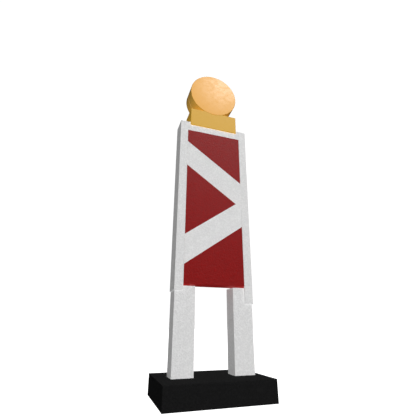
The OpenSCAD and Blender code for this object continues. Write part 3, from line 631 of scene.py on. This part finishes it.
@dataclass(frozen=True)
class Scatter:
    """A geometry tree that sets one head or cell at each given place, with seeded small turns."""

    facing: Facing
    turn_spread: float = 0.0
    seed: int = 3

    def tree(self) -> bpy.types.NodeTree:
        """Return the tree, made on first use."""
        tree = bpy.data.node_groups.get("set_at_places")
        if tree is not None:
            return tree
        tree = bpy.data.node_groups.new("set_at_places", "GeometryNodeTree")
        for label, kind in (("Places", "NodeSocketGeometry"), ("Shape", "NodeSocketObject"),
                            ("Facing", "NodeSocketRotation"), ("Turn Spread", FLOAT), ("Size", FLOAT),
                            ("Seed", "NodeSocketInt"), ("Finish", "NodeSocketMaterial")):
            tree.interface.new_socket(name=label, in_out="INPUT", socket_type=kind)
        tree.interface.new_socket(name="Pieces", in_out="OUTPUT", socket_type="NodeSocketGeometry")
        graph = Graph(tree)
        source = graph.add("NodeGroupInput")
        target = graph.add("NodeGroupOutput")
        shape = graph.add("GeometryNodeObjectInfo", {"Object": source.outputs["Shape"]})
        spread = source.outputs["Turn Spread"]
        turn = graph.add("FunctionNodeRandomValue", {
            2: graph.maths("MULTIPLY", spread, -1.0), 3: spread, "Seed": source.outputs["Seed"]})
        spin = graph.add("FunctionNodeAxisAngleToRotation", {"Axis": (0.0, 0.0, 1.0), "Angle": turn.outputs[1]})
        whole = graph.add("FunctionNodeRotateRotation", {
            "Rotation": source.outputs["Facing"], "Rotate By": spin.outputs[0]}, rotation_space="LOCAL")
        copies = graph.add("GeometryNodeInstanceOnPoints", {
            "Points": source.outputs["Places"], "Instance": shape.outputs["Geometry"],
            "Rotation": whole.outputs[0], "Scale": source.outputs["Size"]})
        real = graph.add("GeometryNodeRealizeInstances", {"Geometry": copies.outputs[0]})
        finished = graph.add("GeometryNodeSetMaterial", {
            "Geometry": real.outputs[0], "Material": source.outputs["Finish"]})
        tree.links.new(finished.outputs[0], target.inputs["Pieces"])
        return tree

    def build(self, name: str, shape: bmesh.types.BMesh, places: Iterable[Vector],
              finish: Finish) -> bpy.types.Object:
        """Return one plain mesh with the shape at every place.

        Args:
            name: The piece's name.
            shape: The shape, standing on its own origin along +Z.
            places: Where each copy's origin goes.
            finish: The finish of them all.

        Returns:
            The piece, dressed.
        """
        pattern = add_object(name + "_pattern", to_mesh(name + "_pattern", shape))
        shade_by_angle(pattern.data)
        points = bpy.data.meshes.new(name)
        points.from_pydata([tuple(place) for place in places], [], [])
        piece = add_object(name, points)
        values = {"Shape": pattern, "Facing": self.facing.value, "Turn Spread": self.turn_spread, "Size": 1.0,
                  "Seed": self.seed, "Finish": finish.build()}
        modifier = piece.modifiers.new("places", "NODES")
        modifier.node_group = self.tree()
        for item in modifier.node_group.interface.items_tree:
            if item.item_type == "SOCKET" and item.in_out == "INPUT" and item.name in values:
                modifier[item.identifier] = values[item.name]
        bpy.context.view_layer.update()
        applied(piece)
        bpy.data.objects.remove(pattern)
        return piece


def place(piece: bpy.types.Object, body: Body, slot: str, *replaced: str) -> bpy.types.Object:
    """Tie a finished piece to its body and hide the nodes that it stands for."""
    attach(piece, body.value)
    if replaced:
        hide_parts(*replaced)
    LOG.info("%s rides on %s (%d faces)", piece.name, body.value, len(piece.data.polygons))
    return piece


def keep(finish: Finish, *nodes: str) -> None:
    """Dress nodes whose shape is already right."""
    for node in nodes:
        dress(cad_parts[node], finish)
        LOG.info("%s keeps its own shape", node)


def soften(softener: Softener, node: str, name: str, finish: Finish, body: Body, slot: str) -> bpy.types.Object:
    """Replace a node by its rounded, dressed copy."""
    return place(dress(softener.build(node, name), finish), body, slot, node)


def cut(shape: bmesh.types.BMesh, *cutters: bmesh.types.BMesh) -> bmesh.types.BMesh:
    """Take cutters out of a closed shape.

    Args:
        shape: The closed shape; it is freed.
        *cutters: Closed shapes to remove; they are freed too.

    Returns:
        The shape that is left.
    """
    body = add_object("cut_body", to_mesh("cut_body", shape))
    tools = [add_object("cut_tool", to_mesh("cut_tool", cutter)) for cutter in cutters]
    for tool in tools:
        step = body.modifiers.new("cut", "BOOLEAN")
        step.operation = "DIFFERENCE"
        step.solver = "EXACT"
        step.object = tool
    bpy.context.view_layer.update()
    applied(body)
    left = bmesh.new()
    left.from_mesh(body.data)
    for item in (body, *tools):
        bpy.data.objects.remove(item)
    return left


def block(low: Sequence[float], high: Sequence[float]) -> bmesh.types.BMesh:
    """Return a box between two corners, as a cutter or a start for a rounded piece."""
    shape = bmesh.new()
    bmesh.ops.create_cube(shape, size=1.0)
    for vert in shape.verts:
        vert.co = Vector([low[i] if vert.co[i] < 0 else high[i] for i in range(3)])
    return shape


def rod(radius: float, start: float, end: float, segments: int = 32) -> bmesh.types.BMesh:
    """Return a plain cylinder along Z."""
    return lathe([(0.0, start), (radius, start), (radius, end), (0.0, end)], segments)


def moved(shape: bmesh.types.BMesh, *steps: Matrix) -> bmesh.types.BMesh:
    """Return the shape after the steps, the first one first."""
    for step in steps:
        bmesh.ops.transform(shape, matrix=step, verts=shape.verts[:])
    return shape


def joined(shapes: Iterable[bmesh.types.BMesh]) -> bmesh.types.BMesh:
    """Return one bmesh that holds all the shapes."""
    whole = bmesh.new()
    for shape in shapes:
        mesh = to_mesh("part", shape)
        whole.from_mesh(mesh)
        bpy.data.meshes.remove(mesh)
    return whole


# ---- Sub-assemblies ------------------------------------------------------------------


@dataclass
class RubberFoot:
    """The rubber base, its retaining plate and the bolts that hold the posts."""

    edge: float = 1.6 * MM
    plate_edge: float = 0.5 * MM

    def build(self) -> None:
        """Round the base and the plate and dress the bolts and plugs."""
        soften(Softener(self.edge), "rubber_base", "base_block", BASE_RUBBER, Body.STAND, "rubber")
        soften(Softener(self.plate_edge), "retaining_plate", "base_plate", ZINC_STEEL, Body.STAND, "zinc_steel")
        keep(ZINC_STEEL, "foot_bolts")
        keep(BLACK_PLASTIC, "left_foot_plug", "right_foot_plug")


@dataclass
class PostPair:
    """The two white posts with their caps, spigots and red spacers."""

    edge: float = 0.8 * MM
    cap_edge: float = 0.4 * MM

    def build(self) -> None:
        """Round the tubes and caps and dress the spigots and spacers."""
        for side in ("left", "right"):
            soften(Softener(self.edge), f"{side}_post", f"{side}_post_tube", WHITE_PLASTIC, Body.STAND,
                   "white_plastic")
            soften(Softener(self.cap_edge), f"{side}_post_cap", f"{side}_post_lid", WHITE_PLASTIC, Body.STAND,
                   "white_plastic")
            keep(ZINC_STEEL, f"{side}_spigot")
            keep(RED_PLASTIC, f"{side}_collar")


@dataclass
class MarkerPanel:
    """The red hollow body and the chevron on its two faces."""

    edge: float = 0.8 * MM

    def build(self) -> None:
        """Round the body's long edges and dress both chevrons."""
        soften(Softener(self.edge), "panel_body", "red_panel", RED_PLASTIC, Body.STAND, "red_plastic")
        keep(WHITE_SHEETING, "front_chevron", "rear_chevron")


@dataclass
class RailFrame:
    """The white rails round the panel, with their rivets and screws."""

    edge: float = 0.8 * MM
    dimple: float = 1.1 * MM
    cross: float = 1.0 * MM

    def build(self) -> None:
        """Round the rails and set the domed and cross-slotted heads in their backs."""
        for node in ("left_rail", "right_rail", "top_rail"):
            soften(Softener(self.edge), node, f"white_{node}", WHITE_PLASTIC, Body.STAND, "white_plastic")
        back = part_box("left_rail")[1].y
        self.heads("rail_rivets", "domed_rivets", back, self.rivet, RIVET_ALUMINIUM, "aluminium")
        self.heads("post_screws", "post_pan_screws", back, self.pan_screw, ZINC_STEEL, "zinc_steel")
        self.heads("corner_screws", "corner_pan_screws", back, self.pan_screw, ZINC_STEEL, "zinc_steel")

    def heads(self, node: str, name: str, back: float, maker: HeadMaker, finish: Finish, slot: str) -> None:
        """Replace a fastener node by detailed copies at the same places."""
        parts = islands(node)
        first = parts[0]
        shape = maker((first.high.x - first.low.x) / 2, first.high.y - back, back - first.low.y)
        places = [Vector((part.middle.x, back, part.middle.z)) for part in parts]
        piece = Scatter(Facing.BACK, turn_spread=math.radians(80)).build(name, shape, places, finish)
        place(piece, Body.STAND, slot, node)

    def rivet(self, radius: float, height: float, depth: float) -> bmesh.types.BMesh:
        """Return a blind rivet: a domed head with its dimple, a shank and a crimped tail."""
        shank, tail, lip = radius * 0.52, radius * 0.72, height * 0.25
        bulge = height - lip
        bend = (radius * radius + bulge * bulge) / (2 * bulge)
        dome = [(radius * (1 - i / 6), 0.0) for i in range(6)]
        dome = [(r, lip + bulge - bend + math.sqrt(bend * bend - r * r)) for r, _ in dome if r > self.dimple]
        top = dome[-1][1]
        return lathe([(0.0, -depth), (tail, -depth), (tail, 1.9 * MM - depth), (shank, 1.9 * MM - depth),
                      (shank, 0.0), (radius, 0.0), *dome, (self.dimple, top), (self.dimple * 0.8, top - 0.5 * MM),
                      (0.0, top - 0.5 * MM)], 32)

    def pan_screw(self, radius: float, height: float, depth: float) -> bmesh.types.BMesh:
        """Return a pan-head screw with a cross recess and a threaded-looking shank."""
        shank, bend = radius * 0.5, height * 0.55
        thread = [(shank * (1.0 if i % 2 else 0.86), -depth + 0.6 * MM * (i + 1))
                  for i in range(int(depth / (0.6 * MM)) - 1)]
        shape = lathe([(0.0, -depth), (shank * 0.6, -depth), *thread, (shank, 0.0), (radius, 0.0),
                       *arc((radius - bend, height - bend), bend, 0, 90), (0.0, height)], 32)
        reach, half = radius * 0.62, self.cross / 2
        bars = [block((-reach, -half, height * 0.45), (reach, half, height * 2)),
                block((-half, -reach, height * 0.45), (half, reach, height * 2))]
        return cut(shape, *bars)


@dataclass
class BatteryCase:
    """The yellow case on the top rail with its door, locks, switch and cells."""

    edge: float = 1.2 * MM
    door_edge: float = 0.8 * MM
    rib_count: int = 9
    rib_pitch: float = 5.0 * MM
    rib_height: float = 0.9 * MM
    mark_height: float = 0.3 * MM

    def build(self) -> None:
        """Build the case from its shell inwards."""
        soften(Softener(self.edge), "battery_case", "yellow_case", CASE_PLASTIC, Body.STAND, "yellow_plastic")
        soften(Softener(self.door_edge), "case_door", "yellow_door", CASE_PLASTIC, Body.DOOR, "yellow_plastic")
        self.grip_ribs()
        self.switch_marks()
        self.cells()
        for side, body in (("left", Body.LEFT_LOCK), ("right", Body.RIGHT_LOCK)):
            self.lock(side, body)
        keep(ZINC_STEEL, "hinge_pin", "mounting_bolt", "mounting_washers", "mounting_nut", "left_lock_cam",
             "right_lock_cam")
        keep(BLACK_PLASTIC, "left_battery_holder", "right_battery_holder", "switch_body", "switch_knob")
        keep(CONTACT_STEEL, "front_contacts", "door_contacts")
        keep(SEAL_FOAM, "door_seal")
        keep(IVORY_PLASTIC, "lead_connector")
        keep(BLACK_WIRE, "negative_lead")
        keep(RED_WIRE, "positive_lead")

    def grip_ribs(self) -> None:
        """Raise a row of short ribs on the door, where a thumb pulls it open."""
        low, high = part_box("case_door")
        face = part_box("left_lock_barrel")[1].y - 1.9 * MM
        middle = (low.x + high.x) / 2
        height = high.z - 9 * MM
        rib = moved(lathe([(0.0, -0.4 * MM), (1.0 * MM, -0.4 * MM), (1.0 * MM, self.rib_height * 0.5),
                           (0.6 * MM, self.rib_height), (0.0, self.rib_height)], 16),
                    Matrix.Diagonal((1.0, 5.0, 1.0, 1.0)))
        start = middle - self.rib_pitch * (self.rib_count - 1) / 2
        places = [Vector((start + self.rib_pitch * i, face, height)) for i in range(self.rib_count)]
        piece = Scatter(Facing.BACK).build("door_grip_ribs", rib, places, CASE_PLASTIC)
        place(piece, Body.DOOR, "yellow_plastic")

    def switch_marks(self) -> None:
        """Set a ring for off and a bar for on beside the knob, and a pointer in the knob."""
        low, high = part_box("switch_knob")
        case_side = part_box("battery_case")[1].x
        axis = Vector((case_side, (low.y + high.y) / 2, (low.z + high.z) / 2))
        reach = (high.z - low.z) / 2 + 4.5 * MM
        ring = lathe([(1.5 * MM, -0.2 * MM), (2.2 * MM, -0.2 * MM), (2.2 * MM, self.mark_height),
                      (1.5 * MM, self.mark_height)], 32)
        ring = moved(ring, Facing.RIGHT.turn(), Matrix.Translation(axis + Vector((0, 0, reach))))
        bar = moved(block((-0.2 * MM, -2.2 * MM, -0.4 * MM), (self.mark_height, 2.2 * MM, 0.4 * MM)),
                    Matrix.Translation(axis - Vector((0, reach, 0))))
        marks = add_object("switch_marks", to_mesh("switch_marks", joined((ring, bar))))
        shade_by_angle(marks.data)
        place(dress(marks, WHITE_PLASTIC), Body.STAND, "white_plastic")
        pointer = block((high.x - 0.58 * MM, axis.y - 0.7 * MM, axis.z + 2.2 * MM),
                        (high.x - 0.05 * MM, axis.y + 0.7 * MM, high.z - 0.2 * MM))
        line = add_object("knob_pointer", to_mesh("knob_pointer", pointer))
        place(dress(line, WHITE_PLASTIC), Body.KNOB, "white_plastic")

    def cells(self) -> None:
        """Stand the cells in their holders, head to tail, also where two touch and come as one part."""
        groups = islands("battery_cells")
        radius = (groups[0].high.z - groups[0].low.z) / 2
        half = (groups[0].high.y - groups[0].low.y) / 2
        middles = [Vector((group.low.x + radius * (2 * step + 1), group.middle.y, group.middle.z))
                   for group in groups
                   for step in range(round((group.high.x - group.low.x) / (2 * radius)))]
        nub, fold = 1.5 * MM, 1.2 * MM
        jacket = [(radius - 3.2 * MM, -half + 0.3 * MM), *arc((radius - fold, -half + fold + 0.25 * MM), fold, -90, 0),
                  *arc((radius - fold, half - nub - fold - 0.25 * MM), fold, 0, 90),
                  (radius - 3.2 * MM, half - nub - 0.3 * MM), (radius - 3.2 * MM, half - nub - 1.0 * MM),
                  (radius - 3.2 * MM, -half + 1.0 * MM)]
        inner = radius - 3.3 * MM
        can = [(0.0, -half), (inner - 2 * MM, -half), (inner - 1 * MM, -half + 0.5 * MM), (inner, -half + 0.5 * MM),
               (inner, half - nub - 0.5 * MM), (6.2 * MM, half - nub - 0.5 * MM), (6.0 * MM, half - nub - 0.1 * MM),
               *arc((4.2 * MM, half - 0.5 * MM), 0.5 * MM, 0, 90), (0.0, half)]
        for index, facing in enumerate((Facing.FRONT, Facing.BACK)):
            places = middles[index::2]
            tag = facing.name.lower()
            sleeves = Scatter(facing).build(f"cell_jackets_{tag}", lathe(jacket, 64), places, CELL_JACKET)
            cans = Scatter(facing).build(f"cell_cans_{tag}", lathe(can, 64), places, CELL_STEEL)
            if index == 0:
                place(sleeves, Body.STAND, "cell_jacket", "battery_cells")
            else:
                place(sleeves, Body.STAND, "cell_jacket")
            place(cans, Body.STAND, "cell_jacket")

    def lock(self, side: str, body: Body) -> None:
        """Turn a lock barrel with a chamfered face and cut its keyway."""
        low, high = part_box(f"{side}_lock_barrel")
        middle = (low + high) / 2
        flange, length = (high.z - low.z) / 2, high.y - low.y
        barrel, bite = flange - 2 * MM, 0.6 * MM
        shape = lathe([(0.0, 0.0), (3 * MM, 0.0), (3 * MM, 2.2 * MM), (barrel, 2.2 * MM), (barrel, length - 1.8 * MM),
                       (flange, length - 1.8 * MM), (flange, length - bite), (flange - bite, length),
                       (5.2 * MM, length), (4.8 * MM, length - 0.4 * MM), (0.0, length - 0.4 * MM)], 64)
        keyway = block((-0.8 * MM, -3.4 * MM, length - 3 * MM), (0.8 * MM, 3.4 * MM, length + MM))
        pilot = rod(1.6 * MM, length - 3 * MM, length + MM, 24)
        shape = cut(shape, keyway, pilot)
        shape = moved(shape, Facing.BACK.turn(),
                      Matrix.Translation((middle.x, low.y, middle.z)))
        piece = add_object(f"{side}_key_lock", to_mesh(f"{side}_key_lock", shape))
        shade_by_angle(piece.data)
        place(dress(piece, ZINC_STEEL), body, "zinc_steel", f"{side}_lock_barrel")


@dataclass
class LampHead:
    """The amber drum that turns on the case: two lenses, a gasket and what they hold."""

    wall: float = 2.5 * MM
    rim_radius: float = 1.6 * MM
    prism_pitch: float = 3.0 * MM
    prism_depth: float = 0.8 * MM
    boss: float = 5.0 * MM
    screw_head: float = 4.2 * MM
    segments: int = 160
    centre: Vector = field(init=False)
    radius: float = field(init=False)
    crown: float = field(init=False)

    def __post_init__(self) -> None:
        """Read the drum's middle and radius from the frame."""
        low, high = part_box("front_lens")
        gasket_low, gasket_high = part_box("lens_gasket")
        self.radius = (high.z - low.z) / 2
        self.centre = Vector(((low.x + high.x) / 2, (gasket_low.y + gasket_high.y) / 2, high.z - self.radius))
        self.crown = 5.0 * MM

    def build(self) -> None:
        """Build both lenses and dress what is inside."""
        self.lens("front_lens", "front_amber_lens", Facing.FRONT, False)
        self.lens("rear_lens", "rear_amber_lens", Facing.BACK, True)
        self.screws()
        keep(AMBER_SILICONE, "lens_gasket")
        keep(BLACK_PLASTIC, "swivel_stem", "swivel_nut")
        keep(IVORY_PLASTIC, "swivel_washer", "lamp_chassis", "photocell")
        keep(MIRROR_COAT, "front_reflector", "rear_reflector")
        keep(LED_RESIN, "front_led", "rear_led")
        keep(CIRCUIT_BOARD, "flasher_board")
        keep(BLACK_WIRE, "head_lead")

    def dome(self, radius: float, top: float) -> float:
        """Return the dome's height at a radius, under its top."""
        bend = (self.radius ** 2 + self.crown ** 2) / (2 * self.crown)
        return top - bend + math.sqrt(bend * bend - radius * radius)

    def profile(self, joint: float, top: float) -> Profile:
        """Return the lens's outline: smooth outside, ringed with prisms inside.

        Args:
            joint: Height of the face that meets the gasket.
            top: Height of the dome's middle.

        Returns:
            Points from the dome's middle, over the rim and back along the inside.
        """
        rim, inner = self.radius, self.radius - self.wall
        shoulder = self.dome(rim - self.rim_radius, top)
        steps = [(rim - self.rim_radius) * i / 24 for i in range(24)]
        outside = [(r, self.dome(r, top)) for r in steps]
        corner = arc((rim - self.rim_radius, shoulder - self.rim_radius), self.rim_radius, 88, 0)
        inside = [(rim, joint), (inner, joint), (inner, self.dome(inner, top) - self.wall)]
        rings = int((inner - 8 * MM) / self.prism_pitch)
        for i in range(rings):
            far = inner - self.prism_pitch * i
            near = far - self.prism_pitch
            inside.append((far - 0.1 * MM, self.dome(far, top) - self.wall))
            inside.append((near, self.dome(near, top) - self.wall - self.prism_depth))
        return [*outside, *corner, *inside, (0.0, top - self.wall)]

    def lens(self, node: str, name: str, facing: Facing, drilled: bool) -> None:
        """Build one half of the drum.

        Args:
            node: The node that the piece stands for.
            name: The piece's name.
            facing: The way that the dome looks.
            drilled: Whether the screws enter from this side.
        """
        low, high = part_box(node)
        joint = min(abs(low.y - self.centre.y), abs(high.y - self.centre.y))
        top = max(abs(low.y - self.centre.y), abs(high.y - self.centre.y))
        stem = (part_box("swivel_washer")[1].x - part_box("swivel_washer")[0].x) / 2
        notch = moved(rod(min(stem, 12.3 * MM), -10 * MM, 10 * MM, 48),
                      Matrix.Rotation(math.radians(90), 4, "X"), Matrix.Translation((0, -self.radius, 0)))
        cutters = [notch]
        seats = self.screw_places(facing)
        head_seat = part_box("lens_screws")[1].y - self.centre.y - 2.6 * MM
        if drilled:
            cutters += [moved(rod(self.screw_head, head_seat, top + 5 * MM), Matrix.Translation((x, y, 0)))
                        for x, y in seats]
        shell = cut(lathe(self.profile(joint, top), self.segments), *cutters)
        ceiling = head_seat if drilled else self.dome(self.radius, top) - self.wall
        bore = 2.2 * MM
        bosses = [moved(lathe([(bore, joint), (self.boss, joint), (self.boss, ceiling), (bore, ceiling)], 32),
                        Matrix.Translation((x, y, 0))) for x, y in seats]
        shape = joined((shell, *bosses))
        shape = moved(shape, facing.turn(), Matrix.Translation(self.centre))
        piece = add_object(name, to_mesh(name, shape))
        # The side slot takes the darker painted-shade copy of the amber, and the face slot takes the brighter
        # painted-light copy.
        dress(piece, AMBER_SIDE_PAINTED_SHADE, AMBER_FACE_PAINTED_LIGHT)
        self.mark_face(piece.data, facing, self.dome(self.radius, top))
        shade_by_angle(piece.data, 38.0)
        place(piece, Body.LAMP, "amber_lens", node)

    def screw_places(self, facing: Facing) -> list[tuple[float, float]]:
        """Return the screws' places on the plane of a lens that looks the given way."""
        back_turn = facing.turn().inverted()
        spots = [back_turn @ (part.middle - self.centre) for part in islands("lens_screws")]
        return [(spot.x, spot.y) for spot in spots]

    def mark_face(self, mesh: bpy.types.Mesh, facing: Facing, shoulder: float) -> None:
        """Give the domed face the second material slot, the brighter painted-light copy of the amber; the rim and
        inside keep the darker painted-shade copy.

        Args:
            mesh: The lens in its place.
            facing: The way that the dome looks.
            shoulder: The dome's height at the rim.
        """
        outwards = facing.turn() @ Vector((0, 0, 1))
        for polygon in mesh.polygons:
            height = (polygon.center - self.centre).dot(outwards)
            on_face = height > shoulder - self.rim_radius and polygon.normal.dot(outwards) > 0.8
            polygon.material_index = 1 if on_face else 0

    def screws(self) -> None:
        """Set the three long screws that hold the lenses together."""
        parts = islands("lens_screws")
        head, seat = 3.8 * MM, 2.6 * MM
        back = parts[0].high.y - seat
        shape = RailFrame().pan_screw(head, seat, back - parts[0].low.y)
        places = [Vector((part.middle.x, back, part.middle.z)) for part in parts]
        piece = Scatter(Facing.BACK, turn_spread=math.radians(80), seed=5).build(
            "lens_pan_screws", shape, places, ZINC_STEEL)
        place(piece, Body.LAMP, "zinc_steel", "lens_screws")


@dataclass(frozen=True)
class Lamp:
    """One broad, shadowless lamp: the way from the object to it, its strength and its shine."""

    name: str
    direction: tuple[float, float, float]
    strength: float
    shines: bool = False
    spread: float = 12.0

    def build(self) -> None:
        """Add the lamp to the scene."""
        data = bpy.data.lights.new(self.name, "SUN")
        data.energy = self.strength
        data.angle = math.radians(self.spread)
        data.use_shadow = False
        light = bpy.data.objects.new(self.name, data)
        light.rotation_euler = Vector(self.direction).to_track_quat("Z", "Y").to_euler()
        light.visible_glossy = self.shines
        bpy.context.scene.collection.objects.link(light)


@dataclass
class Studio:
    """Floor, light and camera."""

    lamps: tuple[Lamp, ...] = (
        Lamp("key", (0.324, -0.573, 0.752), 3.36, shines=True),
        Lamp("floor_bounce", (-0.35, -0.3, -0.89), 2.35),
        Lamp("left_fill", (-0.8, -0.3, 0.5), 0.3),
        Lamp("rear_fill", (0.25, 0.93, 0.27), 2.4, shines=True),
    )
    floor_half: float = 40.0
    floor_glow: float = 0.5
    sky_fill: float = 0.06
    sky_shown: float = 1.05
    camera_place: tuple[float, float, float] = (-0.3176, -0.93695, 0.1879)
    camera_pitch: float = 21.47
    camera_yaw: float = 18.87
    field_of_view: float = 70.0

    def build(self) -> None:
        """Set up the whole studio."""
        self.floor()
        self.sky()
        for lamp in self.lamps:
            lamp.build()
        self.camera()

    def floor(self) -> None:
        """Lay a plain pale floor under the base."""
        half = self.floor_half
        mesh = bpy.data.meshes.new("floor")
        corners = [(-half, -half, 0.0), (half, -half, 0.0), (half, half, 0.0), (-half, half, 0.0)]
        mesh.from_pydata(corners, [], [(0, 1, 2, 3)])
        floor = add_object("floor", mesh)
        material = bpy.data.materials.new("pale_floor")
        material.use_nodes = True
        graph = Graph(material.node_tree)
        shader = material.node_tree.nodes["Principled BSDF"]
        shader.inputs["Base Color"].default_value = (0.86, 0.86, 0.86, 1.0)
        shader.inputs["Roughness"].default_value = 0.9
        shader.inputs["Specular IOR Level"].default_value = 0.0
        shader.inputs["Emission Color"].default_value = (1.0, 1.0, 1.0, 1.0)
        shader.inputs["Emission Strength"].default_value = self.floor_glow
        shine = graph.add("ShaderNodeEmission", {0: (1.0, 1.0, 1.0, 1.0), 1: self.sky_fill})
        seen = graph.add("ShaderNodeLightPath").outputs["Is Camera Ray"]
        mix = graph.add("ShaderNodeMixShader", {0: seen, 1: shine.outputs[0], 2: shader.outputs[0]})
        graph.tree.links.new(mix.outputs[0], material.node_tree.nodes["Material Output"].inputs["Surface"])
        mesh.materials.append(material)

    def sky(self) -> None:
        """Fill softly from all round, behind a plain white background."""
        world = bpy.data.worlds.new("studio")
        bpy.context.scene.world = world
        world.use_nodes = True
        world.node_tree.nodes.clear()
        graph = Graph(world.node_tree)
        fill = graph.add("ShaderNodeBackground", {0: (1, 1, 1, 1), 1: self.sky_fill})
        shown = graph.add("ShaderNodeBackground", {0: (1, 1, 1, 1), 1: self.sky_shown})
        ray = graph.add("ShaderNodeLightPath")
        mix = graph.add("ShaderNodeMixShader", {
            0: ray.outputs["Is Camera Ray"], 1: fill.outputs[0], 2: shown.outputs[0]})
        graph.add("ShaderNodeOutputWorld", {0: mix.outputs[0]})

    def camera(self) -> None:
        """Stand the camera low and to the left, looking up at the lamp."""
        data = bpy.data.cameras.new("camera")
        data.sensor_width = 36.0
        data.angle = math.radians(self.field_of_view)
        data.clip_start = 0.01
        camera = bpy.data.objects.new("camera", data)
        camera.location = self.camera_place
        camera.rotation_euler = (math.radians(90 + self.camera_pitch), 0.0, math.radians(-self.camera_yaw))
        bpy.context.scene.collection.objects.link(camera)
        bpy.context.scene.camera = camera
        bpy.context.scene.view_settings.view_transform = "Standard"


def main() -> None:
    """Build the studio and each sub-assembly, from the ground up."""
    logging.basicConfig(level=logging.INFO, format="%(message)s")
    Studio().build()
    for part in (RubberFoot(), PostPair(), MarkerPanel(), RailFrame(), BatteryCase(), LampHead()):
        LOG.info("building %s", type(part).__name__)
        part.build()


if __name__ == "__main__":
    main()
